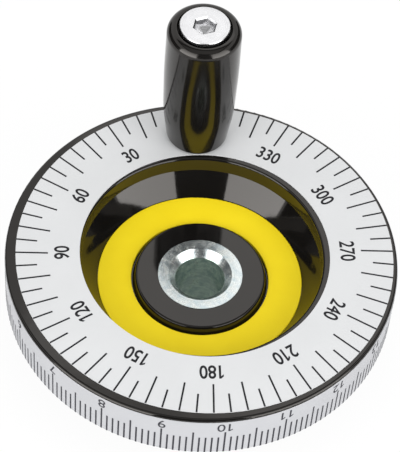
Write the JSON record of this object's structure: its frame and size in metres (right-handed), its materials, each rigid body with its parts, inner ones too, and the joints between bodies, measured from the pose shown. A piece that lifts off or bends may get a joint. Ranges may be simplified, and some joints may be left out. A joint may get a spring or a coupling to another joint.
{
  "type": "machine handwheel",
  "caption": "Round graduated handwheel with a dished face, a steel-lined hub bore and a revolving side handle, for turning a machine's feed shaft by hand.",
  "frame": {"origin": "on the bore axis at the back face of the hub", "axes": "+Z along the bore axis out of the front of the wheel, +Y from the axis to the handle"},
  "size_m": [0.125, 0.125, 0.0941],
  "materials": {
    "black_phenolic": "polished moulding",
    "plated_steel": "turned and zinc plated",
    "dial_aluminium": "satin",
    "yellow_ring": "satin yellow",
    "bush_brass": "turned",
    "bright_screw": "bright plated"
  },
  "bodies": {
    "wheel": {"wheel_body": "black_phenolic", "hub_insert": "plated_steel", "face_dial": "dial_aluminium", "rim_scale": "dial_aluminium", "accent_ring": "yellow_ring", "handle_bush": "bush_brass", "handle_spindle": "bright_screw"},
    "grip": {"handle_grip": "black_phenolic"}
  },
  "joints": [
    {"name": "grip_spin", "type": "hinge", "parent": "wheel", "child": "grip", "pos_m": [0, 0.0497, 0.0673], "axis": [0, 0, 1], "continuous": true}
  ]
}
